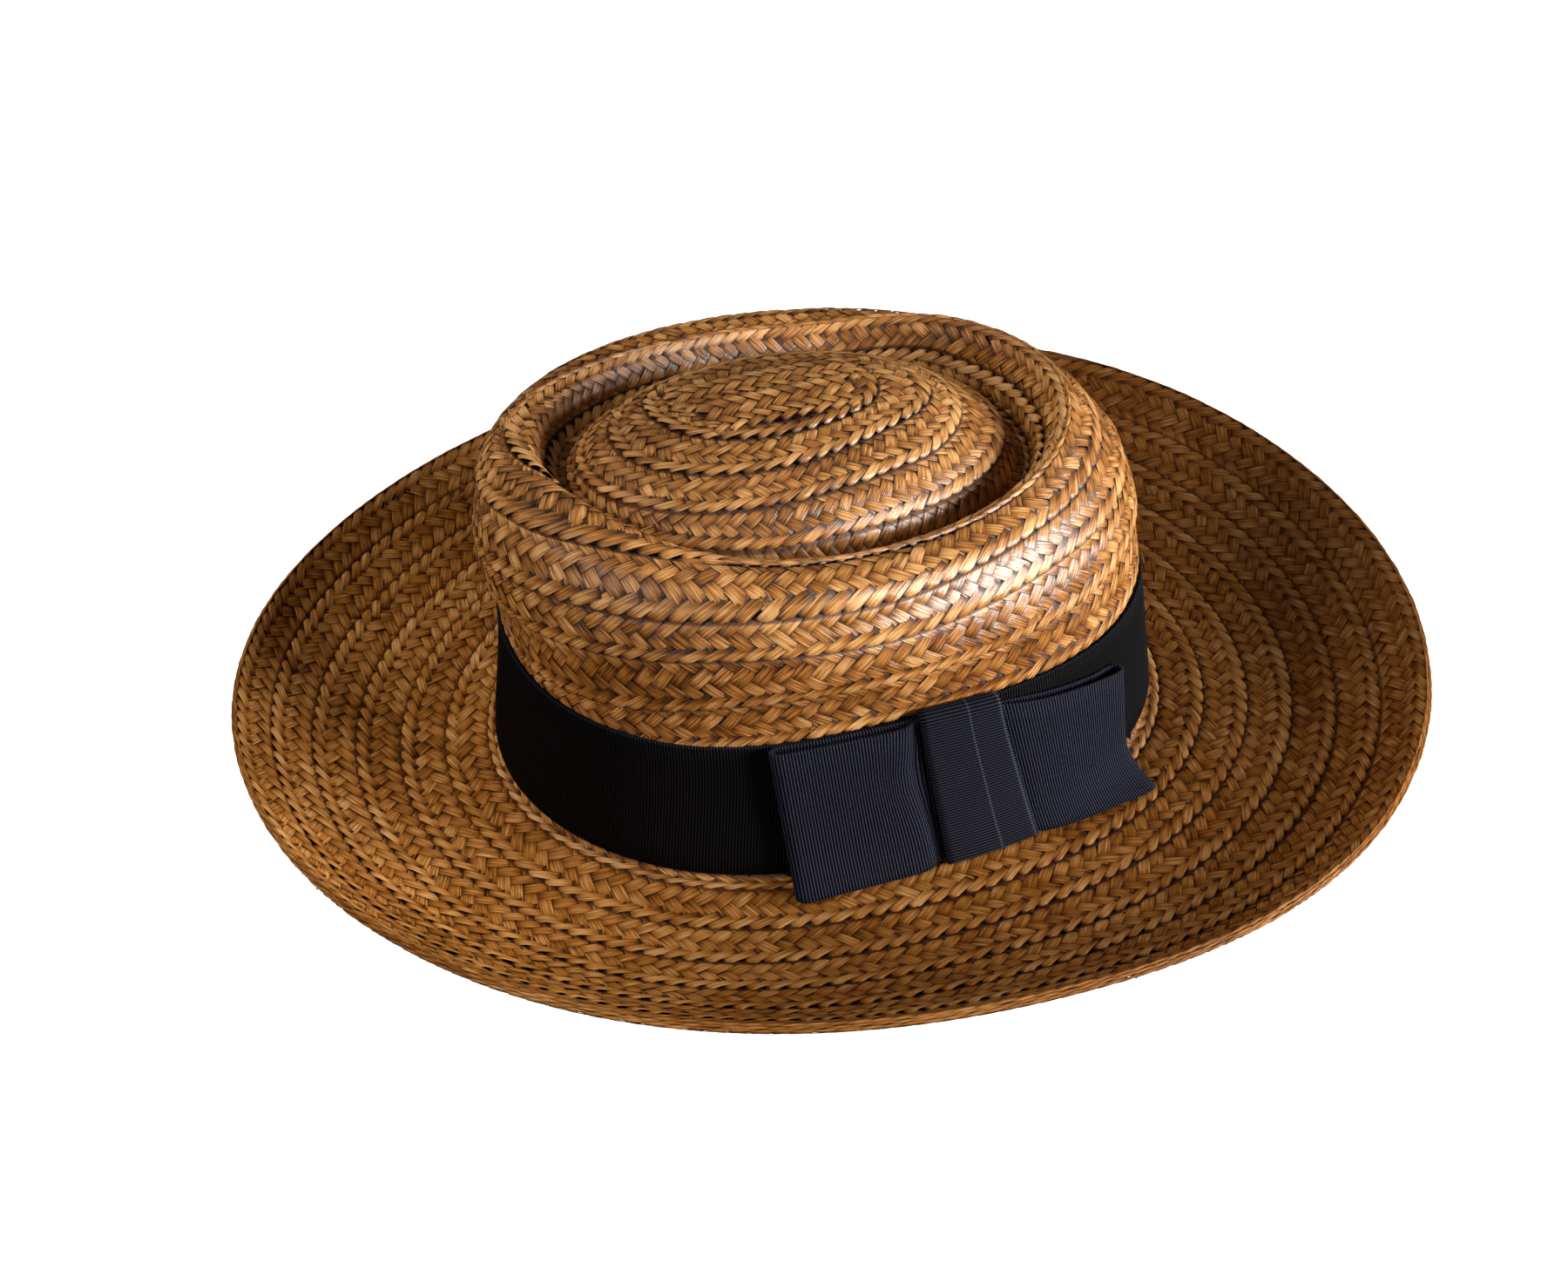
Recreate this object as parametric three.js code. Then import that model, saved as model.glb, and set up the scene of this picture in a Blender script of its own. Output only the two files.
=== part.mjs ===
import * as THREE from "three";

// Straw hat with an oval telescope crown, a wide brim turned up at its edge,
// a ribbon band and a flat bow. Millimetres, +Z up, front at -Y, bow side at +X.
// A turn angle runs round the hat from the front over the bow side to the back.

// Head line, where the crown meets the brim
const headHalfLength = 100;
const headHalfWidth = 82.5;
const headAhead = 1; // the oval's middle lies this far in front of the brim's
const bowSideFlat = 3; // the wall is pushed in by this much under the bow
const bowSideSpread = 0.6; // radians

// Plait and its rows
const plaitThickness = 2;
const edgeRowThickness = 2.8; // the last row of the brim is sewn double
const brimWidth = 82.5; // along the plait, from the head line to the edge, at the front
const brimWidening = 4; // towards the back
const floorFlat = 0.8; // how much of the lowest plait is pressed flat

// Ribbon
const bandWidth = 44.5;
const bandHem = 0.8; // from the head line to the band's lower edge
const wallStraight = 45.5; // the wall is straight this far up from the head line
const ribbonThickness = 1;
const fitGap = 0.35;

// Facets
const turnFacets = 64;
const brimStops = [1, 0.935, 0.871, 0.859, 0.72, 0.576, 0.432, 0.288, 0.144]; // shares of the width
const edgeRowStops = 3; // the first stops lie on the last row
const sectionSteps = 85;

// Every 45 degrees from the front: height of the head line, slope of the brim
// at the head line, half way out and at the edge (degrees, up is positive), how
// far the crown wall leans in behind the band (degrees), and how far the band's
// lower edge rides above the head line.
const directions = [
  { height: 10, inner: -29, middle: 18, edge: 42, lean: 5, ride: 0 },
  { height: 11, inner: -24, middle: 20, edge: 46, lean: 5, ride: 0 },
  { height: 13, inner: -8, middle: 14, edge: 48, lean: 11, ride: 1.5 },
  { height: 8, inner: 4, middle: 8, edge: 46, lean: 7, ride: 5 },
  { height: 5, inner: -3, middle: 12, edge: 48, lean: 9, ride: 4 },
  { height: 8, inner: -6, middle: 13, edge: 44, lean: 6, ride: 2 },
  { height: 11, inner: -15, middle: 4, edge: 41, lean: 5, ride: 1 },
  { height: 12, inner: -24, middle: 5, edge: 39, lean: 3, ride: 0 },
];

// Ovals of the crown above the band, from the waist over the fold and down into
// the groove, then up the dome. tip raises the front, saddle raises both ends,
// bank raises the bow side, flat pushes the bow side in. Between the front and the
// bow side the fold stands higher and further in: lift and draw.
const crownOvals = [
  { name: "waist", steps: 1, height: 84.8, half: 95.3, ahead: 7.8, side: 75.5, tip: 1, saddle: 1, bank: 0, flat: 1, lift: 0, draw: 0 },
  { name: "shoulder", steps: 2, height: 103.7, half: 88, ahead: 10, side: 68, tip: 5, saddle: 0.5, bank: 0, flat: 0, lift: 1, draw: 0.5 },
  { name: "crest", steps: 2, height: 107.6, half: 77, ahead: 11, side: 58, tip: 0.5, saddle: 3, bank: 0, flat: 3, lift: 4.5, draw: 3.5 },
  { name: "groove wall", steps: 2, height: 99.5, half: 71.5, ahead: 11, side: 52.5, tip: 2, saddle: 1, bank: 0, flat: 1, lift: 2, draw: 3 },
  { name: "groove", steps: 1, height: 96, half: 67, ahead: 11, side: 49.5, tip: 5, saddle: 0, bank: 1, flat: 0, lift: 0, draw: 1.5 },
  { name: "dome foot", steps: 2, height: 103, half: 62, ahead: 12, side: 46, tip: 3, saddle: 0, bank: 3, flat: 0, lift: 0, draw: 0 },
  { name: "dome low", steps: 1, height: 110, half: 53, ahead: 14.5, side: 39, tip: 1.5, saddle: 0, bank: 3, flat: 0, lift: 0, draw: 0 },
  { name: "dome middle", steps: 1, height: 115, half: 43, ahead: 15.5, side: 30, tip: 0, saddle: 0, bank: 2, flat: 0, lift: 0, draw: 0 },
  { name: "dome high", steps: 1, height: 118.5, half: 33, ahead: 16.5, side: 20, tip: 0, saddle: 0, bank: 1, flat: 0, lift: 0, draw: 0 },
  { name: "dome top", steps: 1, height: 120.5, half: 21, ahead: 17.5, side: 9.5, tip: 0, saddle: 0, bank: 0, flat: 0, lift: 0, draw: 0 },
  { name: "centre", steps: 1, height: 121, half: 0, ahead: 17.5, side: 0, tip: 0, saddle: 0, bank: 0, flat: 0, lift: 0, draw: 0 },
];
const wallSteps = 2;
const foldTurn = 0.4; // radians from the front
const foldSpread = 0.65;

// Bow: flat loops of doubled ribbon, and a strip wrapped over their inner ends.
// Turn angles in degrees, the rest in millimetres up the wall and out from it.
// kick is how far the lower edge stands out over the brim.
const frontLoop = {
  name: "bow_front_loop",
  fold: { turnTop: 65.2, turnBottom: 69.3, top: 44.8, kick: 4.2 },
  root: { turnTop: 93.5, turnBottom: 96, top: 46, kick: 0.6 },
};
const backLoop = {
  name: "bow_back_loop",
  fold: { turnTop: 130, turnBottom: 130, top: 39.5, kick: 9.6 },
  root: { turnTop: 98, turnBottom: 104, top: 46, kick: 0.6 },
};
const kickHeight = 15;
const brimClearance = 0.95; // from the brim to the middle of a ribbon's lower edge
const loopRises = [0, 0.08, 0.18, 0.32, 0.6, 1]; // shares of the loop's height
const loopStops = [
  { share: 0, gap: 0.8 },
  { share: 0.16, gap: 0.9 },
  { share: 0.26, gap: 2 },
  { share: 0.42, gap: 2.5 },
  { share: 0.64, gap: 2.4 },
  { share: 0.84, gap: 2.6 },
  { share: 1, gap: 3 },
];
const foldStops = [
  { beyond: 0.9, depth: 0.2 },
  { beyond: 1.25, depth: 0.5 },
  { beyond: 0.9, depth: 0.8 },
];
const knot = { frontTop: 88.9, frontBottom: 92.2, backTop: 103.2, backBottom: 108.4 };
const knotColumns = 5;
const knotPath = [
  { up: -2, out: 7.1 },
  { up: 3, out: 6.7 },
  { up: 9, out: 6.2 },
  { up: 23, out: 6 },
  { up: 40, out: 6 },
  { up: 46.3, out: 5.9 },
  { up: 47.8, out: 4.6 },
  { up: 47.9, out: 2.6 },
];

const centralTurn = Math.PI / 2;
const radians = THREE.MathUtils.degToRad;

function fromTable(turn, column) {
  const place = ((turn / (2 * Math.PI)) * directions.length + directions.length) % directions.length;
  const first = Math.floor(place);
  const f = place - first;
  const at = (k) => directions[(first + k + directions.length) % directions.length][column];
  return (
    at(-1) * (-0.5 * f + f * f - 0.5 * f ** 3) +
    at(0) * (1 - 2.5 * f * f + 1.5 * f ** 3) +
    at(1) * (0.5 * f + 2 * f * f - 1.5 * f ** 3) +
    at(2) * (-0.5 * f * f + 0.5 * f ** 3)
  );
}

function bowSide(turn) {
  const away = Math.abs(turn - centralTurn) % (2 * Math.PI);
  return Math.exp(-((Math.min(away, 2 * Math.PI - away) / bowSideSpread) ** 2));
}

function headLine(turn) {
  const x = headHalfWidth * Math.sin(turn) - bowSideFlat * bowSide(turn);
  return new THREE.Vector3(x, -headAhead - headHalfLength * Math.cos(turn), fromTable(turn, "height"));
}

// Level direction square to the head line, away from the head
function outward(turn) {
  const along = headLine(turn + 0.001).sub(headLine(turn - 0.001));
  return new THREE.Vector3(along.y, -along.x, 0).normalize();
}

function widthAt(turn) {
  return brimWidth + (brimWidening * (1 - Math.cos(turn))) / 2;
}

function brimPoint(turn, distance) {
  let reach = 0;
  let rise = 0;
  const width = widthAt(turn);
  const steps = Math.max(1, Math.round((distance / width) * sectionSteps));
  for (let k = 0; k < steps; k += 1) {
    const t = (((k + 0.5) / steps) * distance) / width;
    const slope = radians(
      fromTable(turn, "inner") * (1 - t) * (1 - 2 * t) +
        fromTable(turn, "middle") * 4 * t * (1 - t) +
        fromTable(turn, "edge") * t * (2 * t - 1),
    );
    reach += (Math.cos(slope) * distance) / steps;
    rise += (Math.sin(slope) * distance) / steps;
  }
  return headLine(turn).addScaledVector(outward(turn), reach).add(new THREE.Vector3(0, 0, rise));
}

// A place on the wall behind the band: up from the head line, and out from the wall
function onWall(turn, up, out) {
  const lean = radians(fromTable(turn, "lean"));
  const away = outward(turn);
  const point = headLine(turn).addScaledVector(away, out * Math.cos(lean) - up * Math.sin(lean));
  point.z += up * Math.cos(lean) + out * Math.sin(lean);
  return point;
}

// How high up the wall the brim lies, at a distance out from the wall
function brimUnder(turn, out) {
  const lean = radians(fromTable(turn, "lean"));
  const step = brimPoint(turn, out).sub(headLine(turn));
  return step.z * Math.cos(lean) - Math.hypot(step.x, step.y) * Math.sin(lean);
}

// One where the fold stands highest, falling off to both sides
function sharpFold(turn) {
  const away = Math.atan2(Math.sin(turn - foldTurn), Math.cos(turn - foldTurn));
  return Math.exp(-((away / foldSpread) ** 2));
}

function ovalPoint(oval, turn) {
  const drawn = oval.draw * sharpFold(turn);
  return new THREE.Vector3(
    (oval.side - drawn) * Math.sin(turn) - oval.flat * bowSide(turn),
    -oval.ahead - (oval.half - drawn) * Math.cos(turn),
    oval.height + oval.tip * Math.cos(turn) + oval.saddle * Math.cos(2 * turn) + oval.bank * Math.sin(turn) + oval.lift * sharpFold(turn),
  );
}

// One line up the hat: brim edge, head line, band, fold, groove, dome
function profile(turn) {
  const controls = [headLine(turn), onWall(turn, wallStraight, 0)];
  const steps = [wallSteps];
  for (const oval of crownOvals) {
    controls.push(ovalPoint(oval, turn));
    steps.push(oval.steps);
  }
  const curve = new THREE.CatmullRomCurve3(controls);
  const line = brimStops.map((share) => brimPoint(turn, share * widthAt(turn)));
  line.push(controls[0].clone());
  steps.forEach((count, part) => {
    for (let k = 1; k <= count; k += 1) {
      line.push(curve.getPoint((part + k / count) / steps.length));
    }
  });
  return line;
}

// Steps from a surface to its other side, square to it, mitred at corners
function offsets(face, closed) {
  const columns = face.length;
  return face.map((line, i) => {
    const before = face[closed ? (i + columns - 1) % columns : Math.max(0, i - 1)];
    const after = face[closed ? (i + 1) % columns : Math.min(columns - 1, i + 1)];
    return line.map((point, j) => {
      const around = after[j].clone().sub(before[j]);
      const low = line[Math.max(0, j - 1)];
      const high = line[Math.min(line.length - 1, j + 1)];
      const first = around.clone().cross(j > 0 ? point.clone().sub(low) : high.clone().sub(point)).normalize();
      const second = around.clone().cross(j < line.length - 1 ? high.clone().sub(point) : point.clone().sub(low)).normalize();
      return first.clone().add(second).divideScalar(1 + first.dot(second));
    });
  });
}

// Closed solid between a face and its back, both given as columns of points.
// With a centre, the last points of all columns close over it.
function skinSolid(name, face, back, closed, material, centre) {
  const columns = face.length;
  const rows = face[0].length;
  const positions = [];
  for (const side of [face, back]) {
    for (const line of side) {
      for (const point of line) positions.push(point.x, point.y, point.z);
    }
  }
  const half = columns * rows;
  const indices = [];
  const quad = (a, b, c, d) => indices.push(a, b, c, a, c, d);
  const spans = closed ? columns : columns - 1;
  for (let i = 0; i < spans; i += 1) {
    const near = i * rows;
    const next = ((i + 1) % columns) * rows;
    for (let j = 0; j < rows - 1; j += 1) {
      quad(near + j, next + j, next + j + 1, near + j + 1);
      quad(half + near + j, half + near + j + 1, half + next + j + 1, half + next + j);
    }
    quad(near, half + near, half + next, next);
    const last = rows - 1;
    if (centre) {
      indices.push(near + last, next + last, 2 * half);
      indices.push(half + near + last, 2 * half + 1, half + next + last);
    } else {
      quad(near + last, next + last, half + next + last, half + near + last);
    }
  }
  if (centre) {
    for (const point of centre) positions.push(point.x, point.y, point.z);
  }
  if (!closed) {
    const end = (columns - 1) * rows;
    for (let j = 0; j < rows - 1; j += 1) {
      quad(j, j + 1, half + j + 1, half + j);
      quad(end + j, half + end + j, half + end + j + 1, end + j + 1);
    }
  }
  const geometry = new THREE.BufferGeometry();
  geometry.setAttribute("position", new THREE.Float32BufferAttribute(positions, 3));
  geometry.setIndex(indices);
  geometry.computeVertexNormals();
  const mesh = new THREE.Mesh(geometry, material);
  mesh.name = name;
  return mesh;
}

function sheetSolid(name, middle, halfThickness, material) {
  const steps = offsets(middle, false);
  const shifted = (by) => middle.map((line, i) => line.map((point, j) => point.clone().addScaledVector(steps[i][j], by)));
  return skinSolid(name, shifted(halfThickness), shifted(-halfThickness), false, material);
}

function turnAngles() {
  return Array.from({ length: turnFacets }, (_, i) => (2 * Math.PI * i) / turnFacets);
}

function crownAndBrim(material) {
  const whole = turnAngles().map(profile);
  const steps = offsets(whole, true);
  const rows = whole[0].length - 1;
  const face = whole.map((line) => line.slice(0, rows));
  const back = face.map((line, i) =>
    line.map((point, j) => {
      const thick = j < edgeRowStops ? edgeRowThickness : plaitThickness;
      return point.clone().addScaledVector(steps[i][j], -thick);
    }),
  );
  const lowest = Math.min(...back.flat().map((point) => point.z));
  for (const point of back.flat()) point.z = Math.max(point.z, lowest + floorFlat);
  const top = whole[0][rows];
  const under = top.clone().add(new THREE.Vector3(0, 0, -plaitThickness));
  return skinSolid("crown_and_brim", face, back, true, material, [top, under]);
}

// The point at a distance up a line from its first point
function upLine(line, distance) {
  let left = distance;
  let k = 0;
  while (k < line.length - 2 && left > line[k].distanceTo(line[k + 1])) {
    left -= line[k].distanceTo(line[k + 1]);
    k += 1;
  }
  return line[k].clone().lerp(line[k + 1], left / line[k].distanceTo(line[k + 1]));
}

// The band lies on the straight facets of the wall
function hatBand(material) {
  const first = brimStops.length;
  const lines = turnAngles().map((turn) => {
    const wall = profile(turn).slice(first, first + 4);
    const ride = fromTable(turn, "ride");
    return [upLine(wall, ride + bandHem), wall[1], upLine(wall, ride + bandWidth)];
  });
  const steps = offsets(lines, true);
  const shifted = (by) => lines.map((line, i) => line.map((point, j) => point.clone().addScaledVector(steps[i][j], by)));
  return skinSolid("hat_band", shifted(fitGap + ribbonThickness), shifted(fitGap), true, material);
}

// A doubled loop lying on the band: under the knot, out to the fold next to the
// band, round it and back on top.
function bowLoop(loop, material) {
  const { fold, root } = loop;
  const mix = THREE.MathUtils.lerp;
  const nearest = 2 * fitGap + 1.5 * ribbonThickness;
  const stops = loopStops.map(({ share }) => ({ share, beyond: 0, out: nearest }));
  const foldGap = loopStops.at(-1).gap;
  for (const { beyond, depth } of foldStops) {
    stops.push({ share: 1, beyond, out: nearest + depth * (foldGap + ribbonThickness) });
  }
  for (const { share, gap } of loopStops.toReversed()) {
    stops.push({ share, beyond: 0, out: nearest + gap + ribbonThickness });
  }
  const towardsFront = fold.turnTop < root.turnTop;
  if (!towardsFront) stops.reverse();
  const middle = stops.map(({ share, beyond, out }) =>
    loopRises.map((rise) => {
      const turn =
        mix(mix(root.turnBottom, root.turnTop, rise), mix(fold.turnBottom, fold.turnTop, rise), share) +
        (towardsFront ? -beyond : beyond);
      const lowKick = mix(root.kick, fold.kick, share ** 1.5);
      const bottom = brimUnder(radians(turn), out + lowKick) + brimClearance;
      const up = mix(bottom, mix(root.top, fold.top, share), rise);
      const kick = lowKick * Math.max(0, 1 - (up - bottom) / kickHeight) ** 2;
      return onWall(radians(turn), up, out + kick);
    }),
  );
  return sheetSolid(loop.name, middle, ribbonThickness / 2, material);
}

// The knot is a strip over the inner ends of both loops, its upper end turned in
function bowKnot(material) {
  const mix = THREE.MathUtils.lerp;
  const middle = Array.from({ length: knotColumns + 1 }, (_, k) =>
    knotPath.map(({ up, out }) => {
      const rise = THREE.MathUtils.clamp(up / bandWidth, 0, 1);
      const front = mix(knot.frontBottom, knot.frontTop, rise);
      const back = mix(knot.backBottom, knot.backTop, rise);
      const turn = radians(mix(front, back, k / knotColumns));
      const lowest = brimUnder(turn, out) + brimClearance;
      return onWall(turn, Math.max(up, lowest), out - ribbonThickness / 2);
    }),
  );
  return sheetSolid("bow_knot", middle, ribbonThickness / 2, material);
}

const straw = new THREE.MeshStandardMaterial({ color: 0xa97842, roughness: 0.55, metalness: 0 });
const grosgrain = new THREE.MeshStandardMaterial({ color: 0x14161f, roughness: 0.85, metalness: 0 });
straw.name = "straw";
grosgrain.name = "grosgrain";

const hat = new THREE.Group();
hat.add(
  crownAndBrim(straw),
  hatBand(grosgrain),
  bowLoop(frontLoop, grosgrain),
  bowLoop(backLoop, grosgrain),
  bowKnot(grosgrain),
);

// The origin is under the middle of the hat, on the surface it rests on
const bounds = new THREE.Box3().setFromObject(hat, true);
hat.position.set(-(bounds.min.x + bounds.max.x) / 2, -(bounds.min.y + bounds.max.y) / 2, -bounds.min.z);

export default hat;
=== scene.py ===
import math
import bpy
import numpy as np
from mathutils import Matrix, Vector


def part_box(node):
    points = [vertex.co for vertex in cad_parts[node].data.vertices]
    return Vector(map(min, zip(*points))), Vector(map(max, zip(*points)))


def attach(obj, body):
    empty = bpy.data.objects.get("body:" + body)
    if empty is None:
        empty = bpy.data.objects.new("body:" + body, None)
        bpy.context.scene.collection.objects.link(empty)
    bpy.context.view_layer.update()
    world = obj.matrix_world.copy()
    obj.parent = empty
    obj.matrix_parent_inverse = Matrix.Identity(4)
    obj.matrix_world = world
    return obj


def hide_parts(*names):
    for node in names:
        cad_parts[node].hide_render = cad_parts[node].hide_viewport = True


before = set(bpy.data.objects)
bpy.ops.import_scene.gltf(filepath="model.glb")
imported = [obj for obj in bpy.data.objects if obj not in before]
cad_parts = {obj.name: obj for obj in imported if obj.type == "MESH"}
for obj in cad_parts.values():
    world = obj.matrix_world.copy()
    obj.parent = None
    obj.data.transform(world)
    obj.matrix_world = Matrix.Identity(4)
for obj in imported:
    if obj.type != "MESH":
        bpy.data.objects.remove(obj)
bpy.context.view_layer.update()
millimetre = 0.001

# The hat's own form. Turn angles run round it from the front over the bow side;
# the rows of numbers are for every 45 degrees of turn. Millimetres and degrees.
hatForm = {
    "headHalfLength": 100,
    "headHalfWidth": 82.5,
    "headAhead": 1,
    "bowSideFlat": 3,
    "bowSideSpread": 0.6,
    "wallStraight": 45.5,
    "brimWidth": 82.5,
    "brimWidening": 4,
    "headHeight": (10, 11, 13, 8, 5, 8, 11, 12),
    "brimInner": (-29, -24, -8, 4, -3, -6, -15, -24),
    "brimMiddle": (18, 20, 14, 8, 12, 13, 4, 5),
    "brimEdge": (42, 46, 48, 46, 48, 44, 41, 39),
    "wallLean": (5, 5, 11, 7, 9, 6, 5, 3),
    "bandRide": (0, 0, 1.5, 5, 4, 2, 1, 0),
    "thickness": 2,
    "edgeThickness": 2.8,
    "foldTurn": 0.4,  # where the crown's fold stands highest and furthest in
    "foldSpread": 0.65,
    "turns": 768,
    "brimStations": 84,
    "stationsPerOval": 16,
    "solidTurns": 64,  # facets that the solid has round it
}

# Ovals of the crown from the waist over the fold, down into the groove and up the dome
ovalColumns = ("height", "half", "ahead", "side", "tip", "saddle", "bank", "flat", "lift", "draw")
crownOvals = [
    dict(zip(ovalColumns, row))
    for row in (
        (84.8, 95.3, 7.8, 75.5, 1, 1, 0, 1, 0, 0),
        (103.7, 88, 10, 68, 5, 0.5, 0, 0, 1, 0.5),
        (107.6, 77, 11, 58, 0.5, 3, 0, 3, 4.5, 3.5),
        (99.5, 71.5, 11, 52.5, 2, 1, 0, 1, 2, 3),
        (96, 67, 11, 49.5, 5, 0, 1, 0, 0, 1.5),
        (103, 62, 12, 46, 3, 0, 3, 0, 0, 0),
        (110, 53, 14.5, 39, 1.5, 0, 3, 0, 0, 0),
        (115, 43, 15.5, 30, 0, 0, 2, 0, 0, 0),
        (118.5, 33, 16.5, 20, 0, 0, 1, 0, 0, 0),
        (120.5, 21, 17.5, 9.5, 0, 0, 0, 0, 0, 0),
        (121, 0, 17.5, 0, 0, 0, 0, 0, 0, 0),
    )
]


def mixed(low, high, share):
    return low + (high - low) * share


def facing(steps):
    # the same directions, each with a length of one
    return steps / np.linalg.norm(steps, axis=-1, keepdims=True)


def aroundTable(values, turn):
    values = np.array(values, float)
    place = (turn / (2 * np.pi) * len(values)) % len(values)
    first = np.floor(place).astype(int)
    f = place - first
    weights = (
        -0.5 * f + f**2 - 0.5 * f**3,
        1 - 2.5 * f**2 + 1.5 * f**3,
        0.5 * f + 2 * f**2 - 1.5 * f**3,
        -0.5 * f**2 + 0.5 * f**3,
    )
    return sum(w * values[(first + k - 1) % len(values)] for k, w in enumerate(weights))


def bowSide(turn):
    away = (turn - np.pi / 2 + np.pi) % (2 * np.pi) - np.pi
    return np.exp(-((away / hatForm["bowSideSpread"]) ** 2))


def headLine(turn):
    x = hatForm["headHalfWidth"] * np.sin(turn) - hatForm["bowSideFlat"] * bowSide(turn)
    y = -hatForm["headAhead"] - hatForm["headHalfLength"] * np.cos(turn)
    return np.stack([x, y, aroundTable(hatForm["headHeight"], turn)], -1)


def outward(turn):
    along = headLine(turn + 0.001) - headLine(turn - 0.001)
    away = np.stack([along[..., 1], -along[..., 0], np.zeros_like(along[..., 0])], -1)
    return facing(away)


def brimWidthAt(turn):
    return hatForm["brimWidth"] + hatForm["brimWidening"] * (1 - np.cos(turn)) / 2


def brimLines(turn):
    # from the edge to the head line, one line for each turn angle
    count = hatForm["brimStations"]
    t = (np.arange(count) + 0.5) / count
    inner, middle, edge = (
        aroundTable(hatForm[name], turn)[:, None] for name in ("brimInner", "brimMiddle", "brimEdge")
    )
    slope = np.radians(inner * (1 - t) * (1 - 2 * t) + middle * 4 * t * (1 - t) + edge * t * (2 * t - 1))
    step = brimWidthAt(turn)[:, None] / count
    still = np.zeros((len(turn), 1))
    reach = np.concatenate([still, np.cumsum(np.cos(slope) * step, 1)], 1)
    rise = np.concatenate([still, np.cumsum(np.sin(slope) * step, 1)], 1)
    line = headLine(turn)[:, None, :] + outward(turn)[:, None, :] * reach[..., None]
    line[..., 2] += rise
    return line[:, ::-1]


def onWall(turn, up, out):
    lean = np.radians(aroundTable(hatForm["wallLean"], turn))
    point = headLine(turn) + outward(turn) * (out * np.cos(lean) - up * np.sin(lean))[..., None]
    point[..., 2] += up * np.cos(lean) + out * np.sin(lean)
    return point


def ovalPoint(oval, turn):
    away = (turn - hatForm["foldTurn"] + np.pi) % (2 * np.pi) - np.pi
    sharp = np.exp(-((away / hatForm["foldSpread"]) ** 2))
    drawn = oval["draw"] * sharp
    x = (oval["side"] - drawn) * np.sin(turn) - oval["flat"] * bowSide(turn)
    y = -oval["ahead"] - (oval["half"] - drawn) * np.cos(turn)
    z = oval["height"] + oval["tip"] * np.cos(turn) + oval["saddle"] * np.cos(2 * turn)
    return np.stack([x, y, z + oval["bank"] * np.sin(turn) + oval["lift"] * sharp], -1)


def smoothLine(controls, perSpan):
    # centripetal curve through the controls, which stand along axis 1
    ghostStart = 2 * controls[:, :1] - controls[:, 1:2]
    ghostEnd = 2 * controls[:, -1:] - controls[:, -2:-1]
    line = np.concatenate([ghostStart, controls, ghostEnd], 1)
    gaps = np.sqrt(np.linalg.norm(np.diff(line, axis=1), axis=2, keepdims=True))
    out = [controls[:, :1]]
    for k in range(controls.shape[1] - 1):
        p0, p1, p2, p3 = (line[:, k + j] for j in range(4))
        d0, d1, d2 = (gaps[:, k + j] for j in range(3))
        d0 = np.where(d0 < 1e-4, d1, d0)
        d2 = np.where(d2 < 1e-4, d1, d2)
        m1 = ((p1 - p0) / d0 - (p2 - p0) / (d0 + d1) + (p2 - p1) / d1) * d1
        m2 = ((p2 - p1) / d1 - (p3 - p1) / (d1 + d2) + (p3 - p2) / d2) * d1
        for j in range(1, perSpan + 1):
            w = j / perSpan
            square = (-3 * p1 + 3 * p2 - 2 * m1 - m2) * w**2
            cube = (2 * p1 - 2 * p2 + m1 + m2) * w**3
            out.append((p1 + m1 * w + square + cube)[:, None])
    return np.concatenate(out, 1)


def buildForm():
    turn = np.arange(hatForm["turns"]) * 2 * np.pi / hatForm["turns"]
    wallTop = np.full_like(turn, hatForm["wallStraight"])
    controls = [headLine(turn), onWall(turn, wallTop, np.zeros_like(turn))]
    controls += [ovalPoint(oval, turn) for oval in crownOvals]
    crown = smoothLine(np.stack(controls, 1), hatForm["stationsPerOval"])
    form = np.concatenate([brimLines(turn), crown[:, 1:]], 1)
    around = np.roll(form, -1, 0) - np.roll(form, 1, 0)
    normal = np.cross(around, np.gradient(form, axis=1))
    normal[:, -1] = (0, 0, 1)
    return turn, form, facing(normal)


formTurn, formPoint, formNormal = buildForm()
headStation = hatForm["brimStations"]
lastStation = formPoint.shape[1] - 1


def placeForm():
    # the move from the hat's own numbers to the row frame
    low, high = (np.array(corner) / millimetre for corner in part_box("crown_and_brim"))
    every = hatForm["turns"] // hatForm["solidTurns"]
    edge = formPoint[::every, 0]
    under = edge - formNormal[::every, 0] * hatForm["edgeThickness"]
    both = np.concatenate([edge, under])
    middle = (both.min(0) + both.max(0)) / 2
    across, along = (low[:2] + high[:2]) / 2 - middle[:2]
    return np.array([across, along, high[2] - crownOvals[-1]["height"]])


formMove = placeForm()
print("form ready, moved by", formMove.round(2))


def turnIndex(turn):
    # the nearest of the stored lines
    return np.round(turn / (2 * np.pi) * hatForm["turns"]).astype(int) % hatForm["turns"]


def readBetween(field, turn, place):
    # a value between the stored lines, and between the places along them
    t = (turn / (2 * np.pi) * hatForm["turns"]) % hatForm["turns"]
    i = np.floor(t).astype(int)
    i2 = (i + 1) % hatForm["turns"]
    k = np.clip(place, 0, field.shape[1] - 1 - 1e-6)
    j = np.floor(k).astype(int)
    f, g = t - i, k - j
    if field.ndim > 2:
        f, g = f[..., None], g[..., None]
    near = field[i, j] * (1 - g) + field[i, j + 1] * g
    far = field[i2, j] * (1 - g) + field[i2, j + 1] * g
    return near * (1 - f) + far * f


def sampleForm(turn, station):
    # place and normal on the outer face of the hat
    return [readBetween(field, turn, station) for field in (formPoint, formNormal)]


def lengthAlong(line):
    # how far along a line each of its points is
    return np.concatenate([[0], np.cumsum(np.linalg.norm(np.diff(line, axis=0), axis=1))])


def readAlong(at, length, values):
    # the three values of a line's points at these lengths along it
    return np.stack([np.interp(at, length, values[:, k]) for k in range(3)], -1)


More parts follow.
